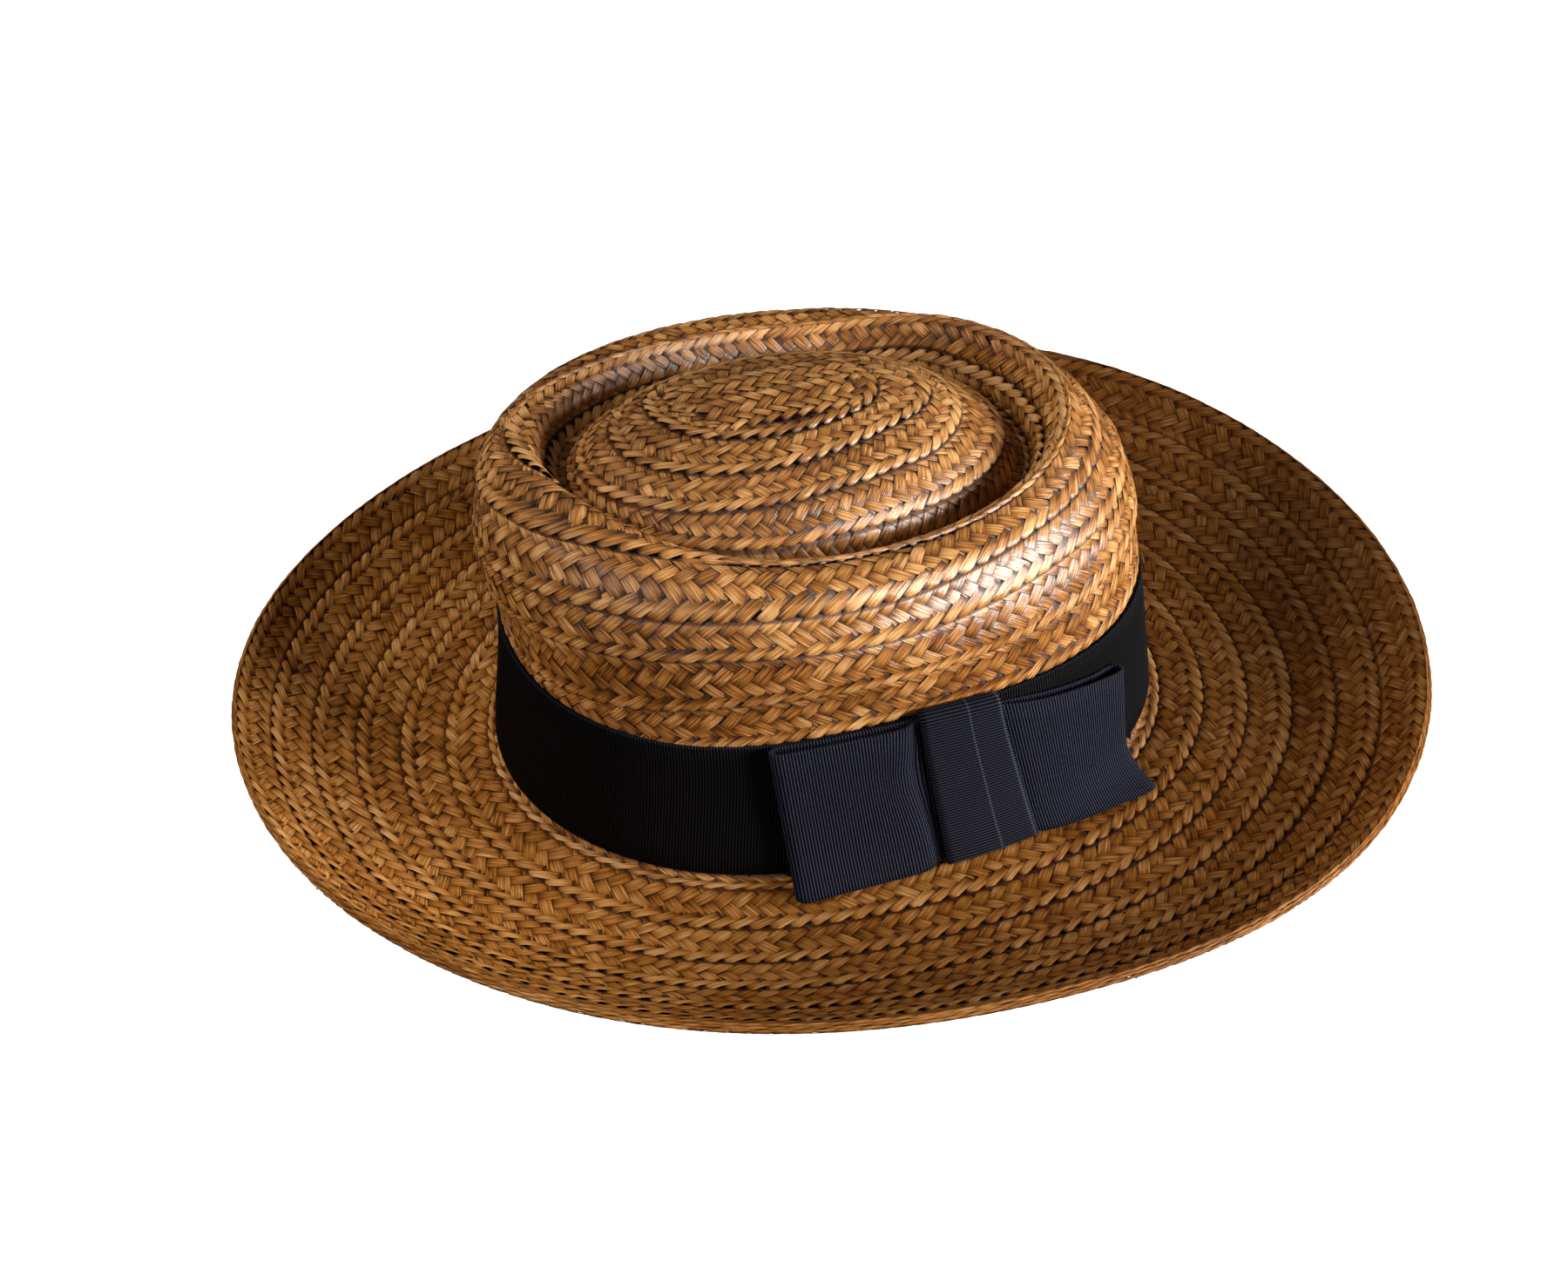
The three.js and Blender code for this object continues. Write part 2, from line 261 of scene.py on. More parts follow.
def toFrame(points):
    return (points + formMove) * millimetre


def gridFaces(index):
    # the faces between neighbouring rows and columns of points
    return np.stack([index[:-1, :-1], index[1:, :-1], index[1:, 1:], index[:-1, 1:]], -1).reshape(-1, 4)


def rimFaces(first, second, offset):
    # the faces that join an edge of one side to the same edge of the other
    return np.stack([first, second, second + offset, first + offset], -1)


def makeMesh(name, points, quads, uv=None, tones=None, edges=None):
    mesh = bpy.data.meshes.new(name)
    mesh.vertices.add(len(points))
    mesh.vertices.foreach_set("co", np.asarray(points, np.float32).ravel())
    mesh.loops.add(quads.size)
    mesh.loops.foreach_set("vertex_index", np.asarray(quads, np.int32).ravel())
    mesh.polygons.add(len(quads))
    mesh.polygons.foreach_set("loop_start", np.arange(len(quads), dtype=np.int32) * quads.shape[1])
    mesh.update(calc_edges=True)
    mesh.polygons.foreach_set("use_smooth", np.ones(len(quads), bool))
    if uv is not None:
        layer = mesh.uv_layers.new(name="strand")
        layer.data.foreach_set("uv", np.asarray(uv, np.float32)[quads.ravel()].ravel())
    if edges is not None:
        # how far from the row's tucked seam, and from its free edge, in millimetres
        layer = mesh.uv_layers.new(name="edges")
        layer.data.foreach_set("uv", np.asarray(edges, np.float32)[quads.ravel()].ravel())
    if tones is not None:
        tone = mesh.attributes.new("tone", "FLOAT_COLOR", "POINT")
        tone.data.foreach_set("color", np.asarray(tones, np.float32).ravel())
    piece = bpy.data.objects.new(name, mesh)
    bpy.context.scene.collection.objects.link(piece)
    return piece


# Seams between the rows of plait, from the brim edge to the middle of the crown,
# as stations at any turn angle. A row runs between two neighbouring seams.
rowSeams = {
    "brim": (0, 70.65, 57.35, 44.05, 30.75, 17.45, 4.15),  # from the head line, the edge first
    # turn angle and three seams by their length up the wall, hidden by the band
    "wall": (
        (-98, 11, 26, 41),
        (0, 8, 20.5, 33),
        (60, 12, 28, 44),
        (102, 13, 30, 47),
        (150, 15, 34, 52),
        (212, 16, 36, 54),
    ),
    # turn angle, three seams on the wall by their length up, and three by ovals:
    # the last climb over the fold at the front
    "climb": (
        (-98, 55, 70, 85, 3.2, 4.1, 5.4),
        (-60, 50, 68, 81, 2.85, 3.75, 5.1),
        (-23, 47, 66.5, 78.5, 2.58, 3.35, 4.8),
        (-9, 46, 66.5, 78.5, 2.62, 3.58, 5.0),
        (2, 46, 67, 79.7, 2.78, 3.9, 5.4),
        (10, 47, 68.6, 82, 2.9, 4.35, 5.6),
        (18, 49.5, 70.2, 84.5, 2.97, 4.6, 5.7),
        (35, 53.3, 73.5, 87.3, 3.3, 4.75, 5.7),
        (60, 60, 76.8, 88.4, 3.72, 4.85, 5.7),
        (90, 63, 78.3, 89.4, 3.85, 4.9, 5.7),
        (122, 67, 84, 95.5, 3.85, 4.9, 5.7),
        (150, 70, 85, 98, 3.85, 4.9, 5.7),
        (212, 70, 85, 98, 3.85, 4.9, 5.7),
    ),
    # turn angle and the five seams of the dome by ovals
    "dome": (
        (-148, 7.05, 8.2, 9.0, 10.3, 10.9),
        (-98, 6.35, 7.05, 8.1, 8.8, 10.5),
        (-60, 6.3, 7.0, 8.05, 8.5, 10.5),
        (-40, 6.3, 7.0, 8.1, 8.85, 10.6),
        (-28, 6.3, 7.05, 8.25, 9.4, 10.75),
        (-5, 6.35, 7.15, 8.5, 10.0, 10.9),
        (19, 6.4, 7.35, 8.72, 10.2, 10.9),
        (43, 6.5, 7.6, 8.95, 10.27, 10.9),
        (67, 6.7, 7.9, 9.12, 10.3, 10.85),
        (90, 6.97, 8.18, 9.28, 10.33, 10.75),
        (111, 7.05, 8.3, 9.4, 10.35, 10.75),
        (126, 7.05, 8.2, 9.42, 10.33, 10.8),
        (143, 7.05, 8.2, 9.25, 10.3, 10.9),
        (166, 7.05, 8.2, 9.0, 10.35, 10.9),
    ),
}


seamBlur = {"reach": 20, "width": 9}  # in stored lines, on either side


def wallStation(turn, length):
    # the station where the line from the head line up has this length
    lines = zip(turnIndex(turn), length)
    return headStation + np.array([np.interp(l, crownLength[k], crownStation) for k, l in lines])


def lengthsFrom(station):
    # how long each stored line is from this station on
    steps = np.linalg.norm(np.diff(formPoint[:, station:], axis=1), axis=2)
    return np.concatenate([np.zeros((hatForm["turns"], 1)), np.cumsum(steps, 1)], 1)


crownLength = lengthsFrom(headStation)
crownStation = np.arange(crownLength.shape[1])


def buildSeams():
    turn = formTurn
    seams = [np.zeros_like(turn)]
    for distance in rowSeams["brim"][1:]:
        seams.append(headStation * (1 - distance / brimWidthAt(turn)))
    perOval = hatForm["stationsPerOval"]
    reach = seamBlur["reach"]
    blur = np.exp(-((np.arange(-reach, reach + 1) / seamBlur["width"]) ** 2))
    for table in (np.array(rowSeams[part], float) for part in ("wall", "climb", "dome")):
        for column in range(1, table.shape[1]):
            place = np.interp(np.degrees(turn), table[:, 0], table[:, column], period=360)
            place = np.concatenate([place[-reach:], place, place[:reach]])
            place = np.convolve(place, blur / blur.sum(), "valid")
            isLength = table[0, column] >= len(crownOvals)  # the ovals' numbers are all lower
            seams.append(wallStation(turn, place) if isLength else headStation + perOval * place)
    return np.array(seams)


seamStations = buildSeams()
allLength = lengthsFrom(0)


def lengthAtStation(stations):
    place = np.arange(lastStation + 1)
    return np.array([np.interp(s, place, line) for s, line in zip(stations.T, allLength)]).T


seamSpans = np.diff(lengthAtStation(seamStations), axis=0)
brimRowCount = len(rowSeams["brim"]) - 1
seamsBelowCord = 6  # on the crown: three behind the band and three above it
cordSeam = len(rowSeams["brim"]) + seamsBelowCord
rowCount = len(seamStations) - 1
print("rows of plait:", rowCount)


def seamAt(index, turn):
    # a seam's station; a fraction lies between two seams
    return readBetween(seamStations.T, turn, index)


# The plait: one long strip of slanting strands in four columns, the last one narrow,
# laid round and round from the brim edge to the middle of the crown
plait = {
    "width": 17,
    "overlap": 1.2,  # the least that the next row inwards hides
    "pitch": 5.4,
    "tipPitch": 4.4,  # closer on top of the crown, where the turns are tight
    "columns": (4.3, 4.75, 4.75, 3.2),  # widths, the tucked edge first
    "reach": 1.2,  # half a strand's length over half a cell's diagonal
    "fullness": 1.1,
    "arch": 0.24,
    "round": 0.12,
    # height of the plait at its tucked edge and at its free edge
    "brimTilt": (-0.42, 0.1),
    "crownTilt": (-0.7, 0.45),
    "insideTilt": (-0.35, 0.15),
    "insideDepth": 1.5,
    "edgeFold": 1.15,
    "dive": 1.8,  # how far a strand's ends go under their neighbours, over the arch
    "diveSharpness": 3.6,
    "freeDive": 0.12,  # the share of that at the free edge
    "phase": 0.25,  # of a cell, between strands that slant one way and the other
    "leanVariety": 0.05,
    "sizeVariety": 0.05,
    "placeVariety": 0.13,
    "heightVariety": 0.05,
    "tuck": 0.75,  # how much lower a row lies where the next one covers it
    "hook": 0.12,  # how far the strands turn along the free edge before they fold under
    "edgeReach": 1.5,  # and how many times as far they go towards it
    # strands are left out where a row is narrower than this or lies this deep
    "leastSpan": 0.8,
    "leastStations": 0.5,
    "deepest": 3.5,
    "lowestPoint": 0.00005,  # metres above the floor
    "stepFrom": 212,  # the turn angle where each row begins to step in by one
    "stepLength": 50,
    "startTrim": 6,
    "seed": 4,
}


def rowAt(angle):
    # how far in the plait is after this much winding, in rows from the edge
    wound = (angle - plait["stepFrom"]) / 360
    whole = np.floor(wound)
    step = np.clip((wound - whole) * 360 / plait["stepLength"], 0, 1)
    return whole - 1 + step * step * (3 - 2 * step)


def windPlait():
    last = plait["stepFrom"] + 360 * rowCount
    angle = np.arange(plait["stepFrom"] + plait["startTrim"], last, 0.25)
    row = rowAt(angle)
    turn = np.radians(angle) % (2 * np.pi)
    station = (seamAt(row, turn) + seamAt(row + 1, turn)) / 2
    path, _ = sampleForm(turn, station)
    steps = np.linalg.norm(np.diff(path, axis=0), axis=1)
    length = lengthAlong(path)
    closer = np.clip(row - cordSeam + 0.5, 0, 1)
    pitch = mixed(plait["pitch"], plait["tipPitch"], closer)
    cells = np.concatenate([[0], np.cumsum(steps / pitch[1:])])
    return angle, row, length, pitch, cells


windAngle, windRow, windLength, windPitch, windCells = windPlait()


def spanAt(index, turn):
    # the visible width of a row, in millimetres
    t = turnIndex(turn)
    k = np.clip(index, 0, rowCount - 1)
    low = np.floor(k).astype(int)
    high = np.minimum(low + 1, rowCount - 1)
    return seamSpans[low, t] * (1 - (k - low)) + seamSpans[high, t] * (k - low)


def startWeaving(name, along, across, inside=False):
    # a piece's random draws, and one strand's face as a grid from -1 to 1 both ways
    generator = np.random.default_rng(plait["seed"] + len(name))
    p, q = np.meshgrid(np.linspace(-1, 1, along), np.linspace(-1, 1, across), indexing="ij")
    quads = gridFaces(np.arange(along * across).reshape(along, across))
    return generator, p.ravel(), q.ravel(), quads[:, ::-1] if inside else quads


def columnSlant(column):
    # the columns slant by turns, and their strands start by turns
    return (1, -plait["phase"]) if column % 2 == 0 else (-1, plait["phase"])


def strandSection(dive, q):
    # a strand is arched along its length and round across it
    return plait["arch"] * (1 - plait["dive"] * dive) - plait["round"] * (q**2)[None]


noSeam = 9.0  # for strands away from the seams, further than a seam's shade reaches


def strandTones(generator, count, along):
    # four chances a strand; the second drifts slowly along the plait
    tone = generator.random((count, 4))
    tone[:, 1] = 0.5 + 0.5 * np.sin(along / 61) * np.cos(along / 23.7)
    return tone


def strandMesh(name, vertices, quads, p, q, tones, edges=None):
    count, size = vertices.shape[:2]
    if edges is None:
        edges = np.full((count, size, 2), noSeam)
    faces = (quads[None] + np.arange(count)[:, None, None] * size).reshape(-1, 4)
    points = vertices.reshape(-1, 3)
    points[:, 2] = np.maximum(points[:, 2], plait["lowestPoint"])
    uv = np.tile(np.stack([p, q], -1) * 0.5 + 0.5, (count, 1))
    piece = makeMesh(name, points, faces, uv, np.repeat(tones, size, 0), edges.reshape(-1, 2))
    print(name, "strands", count, "triangles", len(faces) * 2)
    return piece


def strandsOnForm(rows, p, q, generator, inside, hidden):
    # every strand of the plait between two row numbers
    found, tones, edges = [], [], []
    lastColumn = len(plait["columns"]) - 1
    for column, ownWidth in enumerate(plait["columns"]):
        slant, phase = columnSlant(column)
        cell = np.arange(math.ceil(windCells[0]), math.floor(windCells[-1])) + 0.5 + phase
        centre = np.interp(cell, windCells, windLength)
        row = np.interp(centre, windLength, windRow)
        chosen = (row >= rows[0] - 0.5) & (row < rows[1] - 0.5)
        centre = centre[chosen]
        count = len(centre)
        pitch = np.interp(centre, windLength, windPitch)
        scale = pitch / plait["pitch"]
        width = (plait["width"] * scale)[:, None]
        columnWidth = ownWidth * scale
        middleOut = (sum(plait["columns"][:column]) + ownWidth / 2) * scale
        diagonal = np.hypot(pitch, columnWidth) / 2
        halfWidth = (pitch * columnWidth / 4 / diagonal * plait["fullness"])[:, None]
        halfLength = (plait["reach"] * diagonal)[:, None]
        lean = np.arctan2(columnWidth, pitch) + plait["leanVariety"] * generator.standard_normal(count)
        size = 1 + plait["sizeVariety"] * generator.standard_normal((count, 2))
        wobble = plait["placeVariety"] * generator.standard_normal((count, 2))
        a = p[None] * halfLength * size[:, :1]
        if column == lastColumn:
            a = a * np.where(p[None] > 0, plait["edgeReach"], 1)
        b = q[None] * halfWidth * size[:, 1:]
        cosine = np.cos(lean)[:, None]
        sine = np.sin(lean)[:, None] * slant
        x = centre[:, None] + wobble[:, :1] + a * cosine - b * sine
        y = middleOut[:, None] + wobble[:, 1:] + a * sine + b * cosine
        if column == lastColumn:
            x = x + np.maximum(p[None], 0) ** 2 * halfLength * plait["hook"]
        over = np.maximum(0, y - width)
        y = np.clip(y, 0, width)
        angle = np.interp(x, windLength, windAngle)
        rowHere = rowAt(angle)
        turn = np.radians(angle) % (2 * np.pi)
        outer = seamAt(rowHere, turn)
        inner = seamAt(rowHere + 1, turn)
        span = np.maximum(spanAt(rowHere, turn), 1)
        fromEdge = (width - y - 0.25 * over) * np.maximum(1, span / (width - plait["overlap"]))
        station = outer + (inner - outer) * fromEdge / span
        place, normal = sampleForm(turn, np.maximum(station, 0))
        share = y / width
        onCrown = np.clip(rowHere - brimRowCount, 0, 1)
        low, high = (mixed(plait["brimTilt"][k], plait["crownTilt"][k], onCrown) for k in (0, 1))
        if inside:
            low, high = plait["insideTilt"]
        tilt = mixed(low, high, share)
        dive = np.abs(p)[None] ** plait["diveSharpness"]
        if column == lastColumn:
            dive = np.where(p[None] > 0, dive * plait["freeDive"], dive)
        section = strandSection(dive, q)
        height = tilt + section + plait["heightVariety"] * generator.standard_normal((count, 1))
        height = height - over * plait["edgeFold"]
        height = height - plait["tuck"] * np.clip((fromEdge - span + 0.2) / 1.2, 0, 1)
        if inside:
            # the last row of the brim is doubled
            doubled = hatForm["edgeThickness"] - hatForm["thickness"]
            doubled = doubled * np.clip((12 - station) / 2, 0, 1)
            height = tilt - section - plait["insideDepth"] - doubled + over * 0.5
        vertex = toFrame(place + normal * height[..., None])
        middle = len(p) // 2
        keep = spanAt(rowHere[:, middle], turn[:, middle]) > plait["leastSpan"]
        keep &= (inner - outer)[:, middle] > plait["leastStations"]
        if not inside:
            keep &= (fromEdge - span)[:, middle] < plait["deepest"]
        if hidden is not None:
            keep &= ~hidden(turn[:, middle], station[:, middle])
        found.append(vertex[keep])
        tones.append(strandTones(generator, count, centre)[keep])
        edges.append(np.stack([span - fromEdge, fromEdge - over], -1)[keep])
    return np.concatenate(found), np.concatenate(tones), np.concatenate(edges)


def weaveRows(name, rows, along, across, inside=False, hidden=None):
    generator, p, q, quads = startWeaving(name, along, across, inside)
    vertices, tones, edges = strandsOnForm(rows, p, q, generator, inside, hidden)
    return strandMesh(name, vertices, quads, p, q, tones, edges)


# Where the plait starts, two straight lengths lie over the middle of the crown
crownStart = {
    "pitch": 4.9,
    "lengths": (
        {"side": -7.8, "rise": 0.15, "halfLength": 26},
        {"side": 4.3, "rise": 0.6, "halfLength": 21},
    ),
    "insideRise": 0.35,
    "endFold": 3,  # from here to their ends the lengths bend down
}


def domeHeight(x, y):
    # height and facing of the crown near its middle
    across = x / crownOvals[-2]["side"]
    along = (y + crownOvals[-2]["ahead"]) / crownOvals[-2]["half"]
    turn = np.arctan2(across, -along) % (2 * np.pi)
    radius = np.hypot(across, along)
    away = np.where(radius < 1, radius, 1 + (radius - 1) * 0.9)
    station = lastStation - hatForm["stationsPerOval"] * np.minimum(away, 2)
    place, normal = sampleForm(turn, station)
    return place[..., 2], normal


def weaveStart(name, along, across, inside=False):
    generator, p, q, quads = startWeaving(name, along, across, inside)
    found, tones, edges = [], [], []
    pitch = crownStart["pitch"]
    scale = pitch / plait["pitch"]
    half = plait["width"] * scale / 2
    for strip in crownStart["lengths"]:
        for column, ownWidth in enumerate(plait["columns"][1:] + plait["columns"][3:]):
            columnWidth = ownWidth * scale
            middleOut = (sum(plait["columns"][1 : column + 1]) + ownWidth / 2) * scale
            diagonal = math.hypot(pitch, columnWidth) / 2
            lean = math.atan2(columnWidth, pitch)
            slant, phase = columnSlant(column)
            reach = int(strip["halfLength"] / pitch)
            centre = (np.arange(-reach, reach + 1) + phase) * pitch
            count = len(centre)
            a = p[None] * plait["reach"] * diagonal
            a = a * (1 + plait["sizeVariety"] * generator.standard_normal((count, 1)))
            b = q[None] * pitch * columnWidth / 4 / diagonal
            b = b * (1 + plait["sizeVariety"] * generator.standard_normal((count, 1)))
            sine = math.sin(lean) * slant
            y = centre[:, None] + a * math.cos(lean) - b * sine
            x = middleOut - half + a * sine + b * math.cos(lean)
            over = np.maximum(0, np.abs(x) - half)
            x = np.clip(x, -half, half) + strip["side"]
            place = y - crownOvals[-1]["ahead"]
            z, normal = domeHeight(x, place)
            height = strip["rise"] + strandSection((np.abs(p) ** plait["diveSharpness"])[None], q)
            height = height - over * plait["edgeFold"]
            pastFold = np.maximum(0, np.abs(y) - strip["halfLength"] + crownStart["endFold"])
            height = height - 0.05 * pastFold**2
            if inside:
                height = -plait["insideDepth"] - crownStart["insideRise"] - height
            place = np.stack([x, place, z], -1)
            found.append(toFrame(place + normal * height[..., None]))
            tones.append(strandTones(generator, count, centre))
            edges.append(np.stack([np.full_like(x, noSeam), half - np.abs(x - strip["side"]) - over], -1))
    found, tones, edges = (np.concatenate(each) for each in (found, tones, edges))
    return strandMesh(name, found, quads, p, q, tones, edges)


# The brim edge shows the folds of the doubled last row, one thin line over the other,
# and a cord of the same folds stands up along the inner lip of the crown's fold
edgeFolds = {
    "brim": {"depths": (0.05, 0.85, 1.65), "radius": 0.43, "halfLength": 4.2, "pitch": 5.4, "slant": 0.22},
    "cord": {"radius": 0.75, "halfLength": 4.0, "pitch": 5.0, "slant": 0.35},
}


cordRun = {"from": 50, "to": 345, "fade": 12, "rise": 0.45, "sunk": 0.8}


def roundedStrands(path, sideways, upwards, size, generator, p, q, offset=0.0):
    # short strands along a line, each with the section of a half round rod
    length = lengthAlong(path)
    count = int(length[-1] / size["pitch"])
    centre = (np.arange(count) + offset) * length[-1] / count
    x = (centre[:, None] + p[None] * size["halfLength"]) % length[-1]
    at, side, up = (readAlong(x, length, values) for values in (path, sideways, upwards))
    thick = size["radius"] * (1 + 0.12 * generator.standard_normal((count, 1)))
    thick = thick * (1 - 0.75 * np.abs(p[None]) ** 2.5)
    angle = q[None] * math.radians(105)
    shift = size["slant"] * p[None] + 0.08 * generator.standard_normal((count, 1))
    points = at + side * (np.sin(angle) * thick + shift)[..., None]
    points = points + up * (np.cos(angle) * thick)[..., None]
    return points, strandTones(generator, count, centre)


def weaveEdge(name, along, across):
    generator, p, q, quads = startWeaving(name, along, across)
    turn = np.linspace(0, 2 * np.pi, 2881)
    path, normal = sampleForm(turn, np.zeros_like(turn))
    inwards, _ = sampleForm(turn, np.full_like(turn, 2.0))
    away = facing(path - inwards)
    found, tones = [], []
    for line, depth in enumerate(edgeFolds["brim"]["depths"]):
        folds = path - normal * depth
        points, tone = roundedStrands(folds, normal, away, edgeFolds["brim"], generator, p, q, line * 0.37)
        found.append(toFrame(points))
        tones.append(tone)
    return strandMesh(name, np.concatenate(found), quads, p, q, np.concatenate(tones))


def weaveCord(name, along, across):
    generator, p, q, quads = startWeaving(name, along, across)
    size = edgeFolds["cord"]
    angle = np.linspace(cordRun["from"], cordRun["to"], 2361)
    turn = np.radians(angle) % (2 * np.pi)
    seam = rowAt(angle) - rowAt(np.array([cordRun["from"]])) + cordSeam
    path, normal = sampleForm(turn, seamAt(seam, turn))
    below, _ = sampleForm(turn, seamAt(seam, turn) - 1)
    side = facing(below - path)
    toEnd = np.minimum(angle - cordRun["from"], cordRun["to"] - angle)
    fade = np.clip(toEnd / cordRun["fade"], 0, 1)
    rise = cordRun["rise"] * fade - cordRun["sunk"] * (1 - fade)
    points, tones = roundedStrands(path + normal * rise[:, None], side, normal, size, generator, p, q)
    return strandMesh(name, toFrame(points[1:-1]), quads, p, q, tones[1:-1])


class strandMaths:
    # a number or colour on its way through a material's nodes
    def __init__(self, tree, socket):
        self.tree = tree
        self.socket = socket

    def node(self, kind, settings=None, inputs=None, output=0):
        made = self.tree.nodes.new(kind)
        for key, value in (settings or {}).items():
            if key == "stops":
                elements = made.color_ramp.elements
                while len(elements) < len(value):
                    elements.new(0.5)
                for element, (position, colour) in zip(elements, value):
                    element.position = position
                    element.color = (*colour, 1)
            else:
                setattr(made, key, value)
        for key, value in (inputs or {}).items():
            target = made.inputs[key]
            if isinstance(value, strandMaths):
                self.tree.links.new(value.socket, target)
            else:
                target.default_value = value
        return strandMaths(self.tree, made.outputs[output])

    def maths(self, operation, first, second=0.0, clamp=False):
        settings = {"operation": operation, "use_clamp": clamp}
        return self.node("ShaderNodeMath", settings, {0: first, 1: second})

    def noise(self, places, scale, detail, roughness=0.5):
        # a fibrous pattern at a place given by two or three numbers
        place = self.node("ShaderNodeCombineXYZ", None, dict(enumerate(places)))
        inputs = {"Vector": place, "Scale": scale, "Detail": detail, "Roughness": roughness}
        return self.node("ShaderNodeTexNoise", None, inputs)

    def __add__(self, other):
        return self.maths("ADD", self, other)

    __radd__ = __add__

    def __sub__(self, other):
        return self.maths("SUBTRACT", self, other)

    def __rsub__(self, other):
        return self.maths("SUBTRACT", other, self)

    def __mul__(self, other):
        return self.maths("MULTIPLY", self, other)

    __rmul__ = __mul__

    def parts(self):
        # the three numbers of a place
        first = self.node("ShaderNodeSeparateXYZ", None, {0: self})
        return first, first.also(1), first.also(2)

    def bump(self, strength):
        inputs = {"Strength": strength, "Distance": 0.0003, "Height": self}
        return self.node("ShaderNodeBump", None, inputs)

    def also(self, output):
        # another output of the same node
        return strandMaths(self.tree, self.socket.node.outputs[output])

    def size(self):
        return self.maths("ABSOLUTE", self)

    def clamped(self):
        return self.maths("ADD", self, 0.0, clamp=True)

    def between(self, low, high):
        settings = {"interpolation_type": "SMOOTHSTEP"}
        return self.node("ShaderNodeMapRange", settings, {0: self, 1: low, 2: high})

    def blended(self, first, second):
        return self.node("ShaderNodeMix", {"data_type": "RGBA"}, {0: self, 6: first, 7: second}, 2)


def startMaterial(name, values):
    material = bpy.data.materials.new(name)
    material.use_nodes = True
    for key, value in values.items():
        material.node_tree.nodes["Principled BSDF"].inputs[key].default_value = value
    return material


def varyMaterial(material, values):
    # links what changes over the surface
    tree = material.node_tree
    for key, value in values.items():
        tree.links.new(value.socket, tree.nodes["Principled BSDF"].inputs[key])


strawColours = {
    # the darkest straw, also the colour of the painted shade at the ends and sides of strands
    "dark": (0.036, 0.010, 0.0015),
    "brown": (0.20, 0.064, 0.008),
    "golden": (0.385, 0.152, 0.030),
    "pale": (0.73, 0.40, 0.15),
    # painted shade on the brim, and the darker foot of the crown
    "deep": (0.035, 0.008, 0.0006),
    "crownTopTint": (0.80, 0.55, 0.30),
    # the colour of the painted shade along the seams
    "seam": (0.038, 0.010, 0.0016),
}


# The brim is painted darker from the front towards the back, as painted shade; the crown is darker towards
# its foot and paler towards its top
strawShades = {"middle": 0.34, "back": 0.62, "crownLow": 0.12, "crownTop": 0.04}
# each finish also sets how strongly the sides of its strands are painted in shade
strawFinishes = {
    "brimStraw": {"spread": 0.16, "contrast": 1.1, "sides": 0.85, "roughness": 0.34, "specular": 0.18},
    "crownStraw": {"spread": 0.22, "contrast": 1.4, "sides": 0.97, "roughness": 0.22, "specular": 0.85},
}


